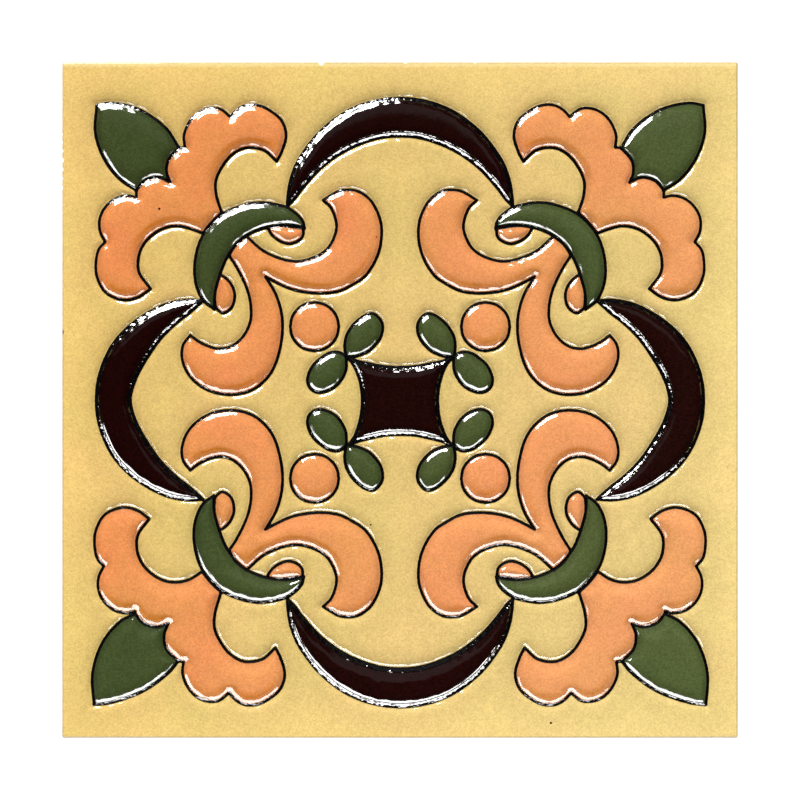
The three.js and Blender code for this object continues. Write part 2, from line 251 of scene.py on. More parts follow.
def bend(points):
    """Points along a centripetal Catmull-Rom curve, evenly spaced.

    Each span is a cubic between two points; its end tangents follow from the neighbouring points,
    with knots at the square root of the chord lengths. The number of pieces is a multiple of
    FINER.
    """
    p = np.asarray(points, float)
    if len(p) > 2:
        q = np.vstack([2 * p[0] - p[1], p, 2 * p[-1] - p[-2]])
        knot = np.sqrt(np.linalg.norm(np.diff(q, axis=0), axis=1))[:, None]
        a, b, c, d = q[:-3], q[1:-2], q[2:-1], q[3:]
        before, here, after = knot[:-2], knot[1:-1], knot[2:]
        leave = ((b - a) / before - (c - a) / (before + here) + (c - b) / here) * here
        arrive = ((c - b) / here - (d - b) / (here + after) + (d - c) / after) * here
        u = np.linspace(0, 1, PIECES, endpoint=False)[:, None, None]
        cubic = ((2 * u**3 - 3 * u**2 + 1) * b + (u**3 - 2 * u**2 + u) * leave
                 + (3 * u**2 - 2 * u**3) * c + (u**3 - u**2) * arrive)
        p = np.vstack([cubic.transpose(1, 0, 2).reshape(-1, 2), p[-1:]])
    along = np.r_[0, np.cumsum(np.linalg.norm(np.diff(p, axis=0), axis=1))]
    count = FINER * max(1, round(along[-1] / STEP))
    s = np.linspace(0, along[-1], count + 1)
    return np.c_[np.interp(s, along, p[:, 0]), np.interp(s, along, p[:, 1])]


def below(ring, stretch, shift, out=0.0):
    """The lower counterpart: upside down, stretched away from the middle and moved down and out."""
    return [[(x - out, -(y * stretch + shift)) for x, y in points] for points in ring]


def across_x(points):
    return [(-x, y) for x, y in reversed(points)]


def across_y(points):
    return [(x, -y) for x, y in reversed(points)]


def circle(centre, radius):
    """Four quarter curves, each through five points of the circle."""
    return [[(centre[0] + radius * math.cos(a), centre[1] + radius * math.sin(a))
             for a in np.linspace(q, q + math.pi / 2, 5)] for q in np.arange(4) * math.pi / 2]


def ornament():
    """Every outline as (glaze, stretches of points), in the order in which they lie on top."""
    left = []
    for upper, lower in ((CRESCENT, below(CRESCENT, *CRESCENT_BELOW)), (LEAF_UPPER, LEAF_LOWER),
                         (UPPER_PETAL, below(UPPER_PETAL, *PETAL_BELOW)),
                         (LOWER_PETAL, below(LOWER_PETAL, *PETAL_BELOW))):
        left += [("green", upper), ("green", lower)]
    # The lower palmette's fourth stretch lies along the lower crescent, so it moves as that does,
    # and it shares the lower leaf's two stretches.
    palmette_below = below(PALMETTE[:7], *PALMETTE_BELOW)
    palmette_below[3:4] = below(PALMETTE[3:4], *CRESCENT_BELOW)
    palmette_below[2][-1], palmette_below[4][0] = palmette_below[3][0], palmette_below[3][-1]
    palmette_below += [[palmette_below[-1][-1], LEAF_LOWER[2][-1]],
                       LEAF_LOWER[2][::-1], LEAF_LOWER[1][::-1],
                       [LEAF_LOWER[1][0], palmette_below[0][0]]]
    for upper, lower in ((UPPER_BUD, below(UPPER_BUD, *CRESCENT_BELOW)),
                         (LOWER_BUD, below(LOWER_BUD, *CRESCENT_BELOW)),
                         (SCROLL, below(SCROLL, *SCROLL_BELOW)), (PALMETTE, palmette_below)):
        left += [("terracotta", upper), ("terracotta", lower)]
    left += [("terracotta", circle(centre, DISC_RADIUS)) for centre in DISC_CENTRES]
    left.append(("brown", [SIDE_OUTER + across_y(SIDE_OUTER)[1:],
                           (SIDE_INNER + across_y(SIDE_INNER)[1:])[::-1]]))
    right = [(glaze, [[(-x, y) for x, y in points] for points in ring]) for glaze, ring in left]
    top = [TOP_OUTER + across_x(TOP_OUTER)[1:], (TOP_INNER + across_x(TOP_INNER)[1:])[::-1]]
    centre = [CENTRE_TOP + across_x(CENTRE_TOP)[1:], across_x(CENTRE_SIDE)[::-1],
              (CENTRE_BOTTOM + across_x(CENTRE_BOTTOM)[1:])[::-1], CENTRE_SIDE[::-1]]
    return left + right + [("brown", top), ("brown", below(top, *TOP_BELOW)), ("brown", centre)]


def inside(points, polygon):
    """Whether points lie in a polygon: an odd number of its edges is crossed on the way to +X."""
    result = np.zeros(len(points), bool)
    low, high = polygon.min(0), polygon.max(0)
    near = np.flatnonzero(((points >= low) & (points <= high)).all(1))
    a, b = polygon, np.roll(polygon, -1, 0)
    run = b[:, 0] - a[:, 0]
    rise = np.where(b[:, 1] == a[:, 1], 1e-12, b[:, 1] - a[:, 1])
    for part in np.array_split(near, len(near) // 4000 + 1):
        x, y = points[part, :1], points[part, 1:]
        spans = (a[:, 1] > y) != (b[:, 1] > y)
        result[part] = (spans & (x < a[:, 0] + run * (y - a[:, 1]) / rise)).sum(1) % 2 == 1
    return result


def measure(points, samples, spacing, reach=9.0, block=9.0):
    """Nearest and soft distance from points to outline samples, and how far south the outline lies.

    The soft distance is the inverse cube root of the sum of spacing / distance ** 4 over all
    samples, scaled so that it equals the plain distance beside one long straight line. It has no
    crease where two sides are equally far away. Both stop at reach. The third result is the mean
    of the directions' southward parts, with the terms of that sum as weights: 1 is due south.
    """
    nearest = np.full(len(points), reach)
    soft = np.full(len(points), reach)
    south = np.zeros(len(points))
    cell = np.floor(points / block).astype(int)
    order = np.lexsort((cell[:, 1], cell[:, 0]))
    edges = np.flatnonzero(np.any(np.diff(cell[order], axis=0), axis=1)) + 1
    for part in np.split(order, edges):
        if not len(part):
            continue
        low = cell[part[0]] * block - reach
        close = np.flatnonzero(((samples > low) & (samples < low + block + 2 * reach)).all(1))
        if not len(close):
            continue
        away = points[part, None] - samples[close]
        square = (away ** 2).sum(2)
        nearest[part] = np.minimum(np.sqrt(square.min(1)), reach)
        square = np.maximum(square, 0.01)  # a point may lie on a sample
        weight = spacing[close] / square ** 2
        total = weight.sum(1)
        soft[part] = np.minimum((total / (math.pi / 2)) ** (-1 / 3), reach)
        south[part] = (weight * away[:, :, 1] / np.sqrt(square)).sum(1) / total
    return nearest, soft, south


def inset_of(points):
    """Distance in from the edge of the rounded square that the tile fills."""
    corner = np.abs(points) - (SIDE / 2 - CORNER_RADIUS)
    outside = np.linalg.norm(np.maximum(corner, 0), axis=1)
    return CORNER_RADIUS - outside - np.minimum(corner.max(1), 0)


def border(inset, step=1.5, smallest_radius=0.05, corner_points=7):
    """The rounded square, at a distance in from the edge, anticlockwise."""
    half = SIDE / 2 - CORNER_RADIUS
    radius = max(CORNER_RADIUS - inset, smallest_radius)
    reach = SIDE / 2 - inset - radius
    quarter = []
    for angle in np.linspace(0, math.pi / 2, corner_points):
        quarter.append((reach + radius * math.cos(angle), reach + radius * math.sin(angle)))
    straight = np.linspace(reach, -reach, int(2 * half / step))[1:-1]
    quarter += [(x, SIDE / 2 - inset) for x in straight]
    quarter = np.array(quarter)
    return np.vstack([quarter @ np.array([[math.cos(t), math.sin(t)], [-math.sin(t), math.cos(t)]])
                      for t in np.arange(4) * math.pi / 2])


# Distances of the mesh's rows of points from an outline and from the tile's edge, in mm.
ROWS = (0.17, 0.34, 0.47, 0.6, 0.72, 0.84, 1.05, 1.3, 1.8, 2.5, 3.3)
EDGE_ROWS = (0.05, 0.16, 0.34, 0.6, 1.0, 1.6)
FACE = {}  # what face() worked out, so that it does so once


def face():
    """The glazed face: points, triangles, the glaze of each triangle, and distances to the line.

    The points are rows carried along every outline on both sides, rows along the tile's edge, and
    a triangular grid between them. A row's point stays only where no other outline is nearer, and
    rows that nearly meet are thinned to one point in each small square. All are joined by a
    Delaunay triangulation that keeps every outline as an edge.
    """
    if FACE:
        return FACE
    rings = [(glaze, [bend(points) for points in ring]) for glaze, ring in ornament()]
    fine = [np.vstack([s[:-1] for s in stretches]) for _, stretches in rings]
    spacing = [np.linalg.norm(np.roll(f, -1, 0) - f, axis=1) for f in fine]
    samples, widths = np.vstack(fine), np.concatenate(spacing)

    fine_zone, thin_near, thin_far, edge_zone, grid_margin = 1.2, 0.07, 0.35, 1.8, 2.2
    points, distances = [], []
    for _, stretches in rings:
        for stretch in stretches:
            tangent = np.gradient(stretch, axis=0)
            tangent /= np.linalg.norm(tangent, axis=1)[:, None]
            normal = np.c_[tangent[:, 1], -tangent[:, 0]]
            for row in ROWS:
                every = FINER if row < fine_zone else 2 * FINER
                for side in (-row, row):
                    points.append((stretch + side * normal)[::every])
                turn = np.arange(max(8, int(2 * math.pi * row / STEP)))
                turn = turn * 2 * math.pi / len(turn)
                points.append(stretch[0] + row * np.c_[np.cos(turn), np.sin(turn)])
                distances += [np.full(len(p), row) for p in points[-3:]]
    points, distances = np.vstack(points), np.concatenate(distances)
    nearest = measure(points, samples, widths)[0]
    keep = (nearest > distances - 0.02) & (inset_of(points) > edge_zone)
    points, distances = points[keep], distances[keep]
    square = np.where(distances < fine_zone, thin_near, thin_far)[:, None]
    _, first = np.unique(np.c_[np.round(points / square), square], axis=0, return_index=True)
    points = points[first]

    pitch, row_pitch, columns, rows = 1.3, 0.866, 58, 68
    column, row = np.meshgrid(np.arange(-columns, columns + 1), np.arange(-rows, rows + 1))
    grid = np.c_[((column + 0.5 * (row % 2)) * pitch).ravel(),
                 (row * pitch * row_pitch).ravel()]
    grid_nearest = measure(grid, samples, widths)[0]
    grid = grid[(grid_nearest > ROWS[-1] + 0.5) & (inset_of(grid) > grid_margin)]

    loops = [f[::FINER] for f in fine] + [border(0.0)]
    starts = np.r_[0, np.cumsum([len(loop) for loop in loops])]
    links = np.vstack([np.c_[np.arange(n), (np.arange(n) + 1) % n] + start
                       for n, start in zip([len(loop) for loop in loops], starts)])
    everything = np.vstack(loops + [points, grid] + [border(inset) for inset in EDGE_ROWS])
    found = delaunay_2d_cdt([Vector(p) for p in everything.tolist()], links.tolist(), [], 0, 1e-5,
                            False)
    points = np.array([tuple(p) for p in found[0]])
    triangles = np.array(found[2])
    a, b, c = (points[triangles[:, i]] for i in range(3))
    area = np.cross(b - a, c - a)
    triangles = np.where(area[:, None] < 0, triangles[:, ::-1], triangles)[np.abs(area) > 1e-9]
    middle = points[triangles].mean(1)
    owner = np.full(len(triangles), -1)
    for number, outline in enumerate(f[::FINER] for f in fine):
        owner[(owner < 0) & inside(middle, outline)] = number
    nearest, soft, south = measure(points, samples, widths)
    point_owner = np.full(len(points), -1)
    point_owner[triangles.ravel()] = np.repeat(owner, 3)
    for number, outline in enumerate(fine):
        mine = np.flatnonzero(point_owner == number)
        _, soft[mine], south[mine] = measure(points[mine], outline, spacing[number])
    on_outline = 0.06  # half the samples' spacing and a little more
    nearest[nearest < on_outline] = 0.0
    glazes = np.array([glaze for glaze, _ in rings] + ["mustard"])
    FACE.update(points=points, triangles=triangles, glaze=glazes[owner], nearest=nearest, soft=soft,
                south=south, motif=point_owner >= 0, brown=glazes[point_owner] == "brown")
    return FACE


def ripple(points, *lengths):
    """A smooth unevenness from -1 to 1: the mean of crossed sine waves, their lengths in mm."""
    x, y = points.T
    waves = [np.sin(2 * math.pi * (x * math.cos(turn) + y * math.sin(turn)) / length + 3 * turn)
             for turn, length in zip(np.arange(len(lengths)) * 2.4 + 0.3, lengths)]
    return np.mean(waves, axis=0)


def sag_of(sizes):
    """How far along the step of the sag a point is, 0 to 1, and how much the step counts there."""
    sheet = face()
    t = np.clip((sheet["soft"] - sizes.sag_start / MM) / (sizes.sag_width / MM), 0, 1)
    uneven = 0.75 + 0.5 * ripple(sheet["points"], 11, 17, 29)
    return t, np.clip(sheet["south"] * FACING, 0, 1) * np.clip(uneven, 0, 1)


def face_height(sizes):
    """Height of the glazed face in mm at every point, from its distance d to the nearest line.

    The line's floor slopes up towards the motif. Beyond it the flank loses a quarter of its slope
    over its width, the shoulder brings it down evenly to the swell's, and the swell to nothing
    over its reach. Height is the sum of those four parts, with the soft distance in the last. The
    glaze sagged as it melted: where the line lies to the south, part of the flank's height comes
    further in, as a smooth step. From 17 to 27 mm below the middle the glaze also ran off the
    motifs' north edges more and more, until their flanks rise half as steeply, to the same height.
    The flank is a little wider and narrower along the line, the whole face waves, and the tile's
    edge falls away as a quarter circle. The brown glaze is stiffer and didn't sag. Nothing is
    higher than the relief.
    """
    sheet = face()
    points, motif, brown, d = (sheet[key] for key in ("points", "motif", "brown", "nearest"))
    half, shoulder, reach = (v / MM for v in (sizes.line_half_width, sizes.shoulder, sizes.reach))
    steepest = np.where(motif, sizes.motif_slope, sizes.ground_slope)
    north = np.clip(-sheet["south"] * FACING, 0, 1)
    slope = steepest * (1 - motif * north * np.clip((-17 - points[:, 1]) / 10, 0, 1) / 2)
    sag = np.where(brown, 0, np.where(motif, sizes.motif_sag, sizes.ground_sag)) / MM
    along, count = sag_of(sizes)
    uneven, wave_height, calm_edge, calm_line = 0.3, 0.05, 3, 2
    flank = np.where(brown, sizes.brown_flank,
                     np.where(motif, sizes.motif_flank, sizes.ground_flank)) / MM
    mean, last = 1 - FLANK_LOSS / 2, 1 - FLANK_LOSS
    rise = (mean * steepest * flank + last / 2 * (steepest - slope) * shoulder
            + (1 - count) * sag)
    width = rise / (mean * slope)
    flank = width * (1 + uneven * ripple(points, 2.6, 4.3, 7.1))
    low_slope = np.where(brown, sizes.brown_swell,
                         np.where(motif, sizes.motif_swell, sizes.ground_swell))
    floor = np.where(motif, sizes.line_tilt, -sizes.line_tilt) * np.minimum(d, half)
    t = np.clip((d - half) / flank, 0, 1)
    steep = (t - FLANK_LOSS / 2 * t**2) * width * slope
    t = np.clip((d - half - flank) / shoulder, 0, 1)
    rounded = (last * slope * t + (low_slope - last * slope) * t**2 / 2) * shoulder
    t = np.clip((sheet["soft"] - half - flank - shoulder) / reach, 0, 1)
    swell = (t - t**2 / 2) * reach * low_slope
    step = (3 * along**2 - 2 * along**3) * sag * count
    inset = np.clip(inset_of(points), 0, None)
    arris = sizes.arris / MM
    fall = arris - np.sqrt(np.maximum(arris**2 - np.maximum(arris - inset, 0) ** 2, 0))
    calm = np.clip(inset / calm_edge, 0, 1) * np.clip(d / calm_line, 0, 1)
    wave = wave_height * ripple(points, 31, 43, 57, 19) * calm
    height = sizes.line_floor / MM + floor + steep + rounded + swell + step + wave - fall
    return np.minimum(height, RELIEF_HEIGHT)


def make_mesh(name, points, faces, smooth=False):
    """A mesh object from points in mm."""
    mesh = bpy.data.meshes.new(name)
    mesh.from_pydata((np.asarray(points) * MM).tolist(), [], faces)
    if smooth:
        mesh.shade_smooth()
    mesh.update()
    piece = bpy.data.objects.new(name, mesh)
    bpy.context.scene.collection.objects.link(piece)
    return piece


def add_node(tree, kind, sockets=None, result=0, **settings):
    """Adds a node with its settings. A socket gets a value or a link to another node's output."""
    node = tree.nodes.new(kind)
    for key, value in settings.items():
        setattr(node, key, value)
    for key, value in (sockets or {}).items():
        if isinstance(value, bpy.types.NodeSocket):
            tree.links.new(value, node.inputs[key])
        else:
            node.inputs[key].default_value = value
    return node.outputs[result] if node.outputs else node


def scale_of(millimetres):
    """Noise scale that gives features of about this size on Object coordinates, in metres."""
    return 1 / (millimetres * MM)


def new_material(name):
    """A material with its shader and output. Returns it, its tree, the shader and Object places."""
    material = bpy.data.materials.new(name)
    material.use_nodes = True
    tree = material.node_tree
    tree.nodes.clear()
    shader = add_node(tree, "ShaderNodeBsdfPrincipled")
    add_node(tree, "ShaderNodeOutputMaterial", {0: shader})
    place = add_node(tree, "ShaderNodeTexCoord", result="Object")
    return material, tree, shader.node, place


# Map Range takes a value, the two ends it comes from and the two it goes to, as sockets 0 to 4.
# Mix takes its factor as socket 0 and its two colours as 6 and 7, and gives the mixed one as 2.
MAP, MATH, MIX = "ShaderNodeMapRange", "ShaderNodeMath", "ShaderNodeMix"
NOISE, ATTRIBUTE = "ShaderNodeTexNoise", "ShaderNodeAttribute"


def glaze_material(name, left, right, line, half_line, roughness, index=1.5, ragged=0.1,
                   edge=0.85, reach=1.6, mottle=0.1, sag_shade_and_fullness=0.14, lumps=15.0, spots=()):
    """Fired glaze pool with a black line at its edge.

    A brushed-on glaze, fired glossy: faint orange peel, small pores, cloudy colour, fuller where it
    sagged. Painted shade darkens it on the sag's step and towards the sunk line, painted shade
    darkens it towards the north, and painted light makes it paler towards the right. The line is
    manganese in wax: black and lumpy, so a reflection breaks up on it, with an edge that wanders by
    a tenth of a millimetre. The index is the glaze's refractive index, higher in the dark
    metal-rich glazes.
    Spots are specks in the glaze and chips at the tile's edge, as (x, y, radius, colour). Lengths
    are in mm. The real grain and pores are finer: here they are as coarse as they need to show.
    """
    near_edge = 70 * MM
    material, tree, shader, place = new_material(name)
    distance = add_node(tree, ATTRIBUTE, result="Fac", attribute_name="line_distance")
    inset = add_node(tree, ATTRIBUTE, result="Fac", attribute_name="edge_distance")
    sagged = add_node(tree, ATTRIBUTE, result="Fac", attribute_name="sag")
    across = add_node(tree, "ShaderNodeVectorMath", {0: place, 1: (1, -0.4, 0)}, "Value",
                      operation="DOT_PRODUCT")
    up = add_node(tree, "ShaderNodeSeparateXYZ", {0: place}, 1)
    cloud = add_node(tree, NOISE, {"Vector": place, "Scale": scale_of(16), "Detail": 3})
    grain = add_node(tree, "ShaderNodeTexVoronoi", {"Vector": place, "Scale": scale_of(0.28)},
                     "Color")
    grain = add_node(tree, "ShaderNodeSeparateColor", {0: grain})
    soft_grain = add_node(tree, NOISE, {"Vector": place, "Scale": scale_of(2.4), "Detail": 2})
    # Painted light: each glaze is mixed towards its paler colour on the right, as if lit more from
    # that side.
    paler = add_node(tree, MAP, {0: across, 1: -near_edge, 2: near_edge})
    colour = add_node(tree, MIX, {0: paler, 6: (*left, 1), 7: (*right, 1)}, 2, data_type="RGBA")

    # Pores are small dark dots in the middle of a quarter of the cells.
    pore = add_node(tree, "ShaderNodeTexVoronoi", {"Vector": place, "Scale": scale_of(2.2)})
    chosen = add_node(tree, "ShaderNodeSeparateColor", {0: pore.node.outputs["Color"]})
    chosen = add_node(tree, MATH, {0: chosen, 1: 0.25}, operation="LESS_THAN")
    chosen = add_node(tree, MATH, {0: chosen, 1: -0.25}, operation="MULTIPLY")
    pore = add_node(tree, MAP, {0: pore, 1: 0.05, 2: 0.1, 3: 1.0, 4: 0.0})
    value = add_node(tree, MATH, {0: pore, 1: chosen, 2: 1.0}, operation="MULTIPLY_ADD")
    # The glaze is lighter or darker by cloud, grain and soft grain; by painted shade towards the
    # sunk line and on the sag's step; by painted shade that darkens it towards the north; and it is
    # lighter a few millimetres in from the tile's edge and darker in its outermost half millimetre.
    for factor in (
            add_node(tree, MAP, {0: cloud, 1: 0.3, 2: 0.7, 3: 0.965, 4: 1.035}),
            add_node(tree, MAP, {0: grain, 3: 1 - mottle, 4: 1 + mottle}),
            add_node(tree, MAP, {0: soft_grain, 1: 0.3, 2: 0.7, 3: 0.97, 4: 1.03}),
            # Painted shade: darker towards the sunk line, where shade falls in the groove.
            add_node(tree, MAP, {0: distance, 1: half_line, 2: half_line + reach, 3: edge, 4: 1.0},
                     interpolation_type="SMOOTHSTEP"),
            # Painted shade: darker on the step where the glaze sagged towards a line south of it.
            add_node(tree, MAP, {0: sagged, 3: 1.0, 4: 1 - sag_shade_and_fullness}),
            # Painted shade: a little darker towards the north.
            add_node(tree, MAP, {0: up, 1: -near_edge, 2: near_edge, 3: 1.03, 4: 0.97}),
            add_node(tree, MAP, {0: inset, 1: 3.0, 2: 14.0, 3: 1.05, 4: 0.975}),
            add_node(tree, MAP, {0: inset, 1: 0.05, 2: 0.45, 3: 0.5, 4: 1.0})):
        value = add_node(tree, MATH, {0: value, 1: factor}, operation="MULTIPLY")
    hue = add_node(tree, MAP, {0: cloud, 1: 0.3, 2: 0.7, 3: 0.506, 4: 0.494})
    # The glaze is also fuller and more saturated on that step.
    fuller = add_node(tree, MAP, {0: sagged, 3: 1.0, 4: 1 + sag_shade_and_fullness / 2})
    colour = add_node(tree, "ShaderNodeHueSaturation",
                      {"Color": colour, "Hue": hue, "Saturation": fuller, "Value": value})

    # A painted highlight along the north edge, the spots and the black line lie over that colour.
    wander = add_node(tree, NOISE, {"Vector": place, "Scale": scale_of(0.7), "Detail": 3,
                                    "Roughness": 0.7})
    # Painted highlight: a pale ragged line along the tile's north edge.
    lip = add_node(tree, MATH, {0: wander, 1: 1.1 * MM, 2: up}, operation="MULTIPLY_ADD")
    lip = add_node(tree, MAP, {0: lip, 1: 74.3 * MM, 2: 74.8 * MM, 3: 0.0, 4: 0.35})
    inner = add_node(tree, MAP, {0: inset, 1: 0.2, 2: 0.4})
    lip = add_node(tree, MATH, {0: lip, 1: inner}, operation="MULTIPLY")
    colour = add_node(tree, MIX, {0: lip, 6: colour, 7: (*linear(NORTH_EDGE_HIGHLIGHT), 1)}, 2,
                      data_type="RGBA")
    flat = add_node(tree, "ShaderNodeVectorMath", {0: place, 1: (1, 1, 0)}, operation="MULTIPLY")
    for x, y, radius, tone in spots:
        away = add_node(tree, "ShaderNodeVectorMath", {0: flat, 1: (x * MM, y * MM, 0)}, "Value",
                        operation="DISTANCE")
        away = add_node(tree, MATH, {0: wander, 1: radius * MM, 2: away}, operation="MULTIPLY_ADD")
        mask = add_node(tree, MAP, {0: away, 1: 1.3 * radius * MM, 2: 1.7 * radius * MM, 3: 1.0,
                                    4: 0.0})
        colour = add_node(tree, MIX, {0: mask, 6: colour, 7: (*linear(tone), 1)}, 2,
                          data_type="RGBA")
    middle = half_line + ragged
    drawn = add_node(tree, MATH, {0: wander, 1: ragged * 2, 2: distance}, operation="MULTIPLY_ADD")
    drawn = add_node(tree, MAP, {0: drawn, 1: middle - 0.04, 2: middle + 0.04, 3: 1.0, 4: 0.0})
    colour = add_node(tree, MIX, {0: drawn, 6: colour, 7: (*line, 1)}, 2, data_type="RGBA")

    # The worn edge is matt. The bump is orange peel, a finer unevenness and the line's lumps.
    worn = add_node(tree, MAP, {0: inset, 1: 0.1, 2: 0.45, 3: 0.9, 4: roughness})
    peel = add_node(tree, NOISE, {"Vector": place, "Scale": scale_of(4), "Detail": 1})
    fine = add_node(tree, NOISE, {"Vector": place, "Scale": scale_of(0.5), "Detail": 2})
    lump = add_node(tree, NOISE, {"Vector": place, "Scale": scale_of(1.1), "Detail": 1.5})
    near = add_node(tree, MAP, {0: distance, 1: half_line - 0.05, 2: half_line + 0.2, 3: lumps,
                                4: 0.0}, interpolation_type="SMOOTHSTEP")
    height = add_node(tree, MATH, {0: peel, 1: 3.5, 2: fine}, operation="MULTIPLY_ADD")
    height = add_node(tree, MATH, {0: lump, 1: near, 2: height}, operation="MULTIPLY_ADD")
    bump = add_node(tree, "ShaderNodeBump", {"Height": height, "Distance": 0.01 * MM})
    shader.inputs["IOR"].default_value = index
    for key, socket in (("Base Color", colour), ("Roughness", worn), ("Normal", bump)):
        tree.links.new(socket, shader.inputs[key])
    return material


def clay_material(name, clay, pale, glaze):
    """Pressed and fired clay with the ground's glaze run over its edge.

    Dry and open-grained, a little paler where it was fettled. The glaze runs down the sides to a
    wavy edge a few millimetres below the face.
    """
    material, tree, shader, place = new_material(name)
    grain = add_node(tree, NOISE, {"Vector": place, "Scale": scale_of(0.8), "Detail": 5,
                                   "Roughness": 0.7})
    amount = add_node(tree, MAP, {0: grain, 1: 0.35, 2: 0.65})
    colour = add_node(tree, MIX, {0: amount, 6: (*clay, 1), 7: (*pale, 1)}, 2, data_type="RGBA")
    height = add_node(tree, "ShaderNodeSeparateXYZ", {0: place}, 2)
    run = add_node(tree, NOISE, {"Vector": place, "Scale": scale_of(6), "Detail": 3})
    run = add_node(tree, MATH, {0: run, 1: 5 * MM, 2: height}, operation="MULTIPLY_ADD")
    run = add_node(tree, MAP, {0: run, 1: 7.4 * MM, 2: 7.6 * MM})
    colour = add_node(tree, MIX, {0: run, 6: colour, 7: (*glaze, 1)}, 2, data_type="RGBA")
    gloss = add_node(tree, MAP, {0: run, 3: 0.85, 4: 0.25})
    bump = add_node(tree, "ShaderNodeBump", {"Height": grain, "Distance": 0.05 * MM})
    for key, socket in (("Base Color", colour), ("Roughness", gloss), ("Normal", bump)):
        tree.links.new(socket, shader.inputs[key])
    return material


def glaze_sheet(glaze, material):
    """One glaze's part of the face, with its distances to line and edge in mm and its sag."""
    sheet = face()
    height = face_height(bpy.context.scene.tile_sizes)
    used, faces = np.unique(sheet["triangles"][sheet["glaze"] == glaze], return_inverse=True)
    piece = make_mesh(f"{glaze}_glaze", np.c_[sheet["points"][used], height[used]],
                      faces.reshape(-1, 3).tolist(), True)
    along, count = sag_of(bpy.context.scene.tile_sizes)
    for key, values in (("line_distance", sheet["nearest"]),
                        ("edge_distance", inset_of(sheet["points"])),
                        ("sag", 4 * along * (1 - along) * count)):
        attribute = piece.data.attributes.new(key, "FLOAT", "POINT")
        attribute.data.foreach_set("value", values[used].astype(np.float32))
    piece.data.materials.append(material)
    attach(piece, "root")


class TILE_OT_clay_body(bpy.types.Operator):
    """Adds the fired clay under the glaze"""

    bl_idname = "tile.clay_body"
    bl_label = "Clay Body"

    def execute(self, context):
        """Carries the rounded square up from the chamfered back to the glaze and in under it."""
        sizes, colours = context.scene.tile_sizes, context.scene.tile_colours
        top = face_height(sizes)[inset_of(face()["points"]) < 0.01].min()
        under = sizes.line_floor / MM - 0.3
        chamfer, middle = 0.5, 12.0
        # Each level is (inset, height). The chamfer is two flats, so it stands out in the middle.
        levels = [(middle, 0.0), (chamfer, 0.0), (0.12, 0.14), (0.0, chamfer), (0.0, top),
                  (0.4, under), (middle, under)]
        rings = [np.c_[border(inset), np.full(len(border(inset)), z)] for inset, z in levels]
        count = len(rings[0])
        points = np.vstack(rings + [[(0, 0, 0), (0, 0, under)]])
        i = np.arange(count)
        j = (i + 1) % count
        sides = [np.c_[i, j, j + count, i + count] + k * count for k in range(len(rings) - 1)]
        last = count * (len(rings) - 1)
        ends = [np.c_[j, i, np.full(count, len(points) - 2)],
                np.c_[i + last, j + last, np.full(count, len(points) - 1)]]
        faces = [f for block in sides + ends for f in block.tolist()]
        piece = make_mesh("clay_body", points, faces)
        piece.data.materials.append(clay_material("Fired buff clay", colours.clay,
                                                  linear(PALE_CLAY), colours.mustard))
        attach(piece, "root")
        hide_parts("tile")
        return {"FINISHED"}


class TILE_OT_ground_glaze(bpy.types.Operator):
    """Adds the mustard glaze of the ground"""

    bl_idname = "tile.ground_glaze"
    bl_label = "Ground Glaze"

    def execute(self, context):
        colours, sizes = context.scene.tile_colours, context.scene.tile_sizes
        glaze_sheet("mustard", glaze_material(
            "Glossy mustard glaze", colours.mustard, colours.mustard_lit_right, colours.line,
            sizes.line_half_width / MM, 0.12, edge=0.88, reach=9, mottle=0.13, sag_shade_and_fullness=0.03, spots=(
                (33.5, -71.7, 0.25, SPECK), (-6.5, -27.7, 0.2, SPECK), (-75.1, 15.1, 0.5, NICK),
                (-75.2, 59.0, 0.3, CHIP), (-75.2, 57.2, 0.35, CHIP), (-75.1, 55.3, 0.4, CHIP),
                (-75.1, 53.2, 0.5, CHIP), (-75.2, 51.2, 0.5, CHIP), (-75.2, 49.1, 0.4, CHIP),
                (-75.2, 47.2, 0.35, CHIP), (-17.5, 74.9, 0.6, CHIP), (1.1, 75.1, 0.4, CHIP),
                (16.6, 75.1, 0.4, CHIP))))
        return {"FINISHED"}


class TILE_OT_terracotta_glaze(bpy.types.Operator):
    """Adds the terracotta glaze of the palmettes, scrolls, buds and discs"""

    bl_idname = "tile.terracotta_glaze"
    bl_label = "Terracotta Glaze"

    def execute(self, context):
        colours, sizes = context.scene.tile_colours, context.scene.tile_sizes
        glaze_sheet("terracotta", glaze_material(
            "Glossy terracotta glaze", colours.terracotta, colours.terracotta_lit_right, colours.line,
            sizes.line_half_width / MM, 0.12, mottle=0.13, sag_shade_and_fullness=0.2,
            spots=((-53.4, 42.4, 0.25, DARK_SPECK), (-5.2, 36.2, 0.2, RED_SPECK))))
        return {"FINISHED"}


class TILE_OT_green_glaze(bpy.types.Operator):
    """Adds the green glaze of the leaves, crescents and petals"""

    bl_idname = "tile.green_glaze"
    bl_label = "Green Glaze"

    def execute(self, context):
        colours, sizes = context.scene.tile_colours, context.scene.tile_sizes
        glaze_sheet("green", glaze_material(
            "Glossy olive glaze", colours.green, colours.green_lit_right, colours.line,
            sizes.line_half_width / MM, 0.12, index=1.62, edge=0.75, mottle=0.2))
        return {"FINISHED"}


class TILE_OT_brown_glaze(bpy.types.Operator):
    """Adds the brown glaze of the four big crescents and the centre"""

    bl_idname = "tile.brown_glaze"
    bl_label = "Brown Glaze"

    def execute(self, context):
        colours, sizes = context.scene.tile_colours, context.scene.tile_sizes
        glaze_sheet("brown", glaze_material(
            "Glossy manganese brown glaze", colours.brown, colours.brown_lit_right, colours.line,
            sizes.brown_half_width / MM, 0.11, index=1.75, ragged=0.25, edge=0.8, mottle=0.4,
            lumps=26.0))
        return {"FINISHED"}


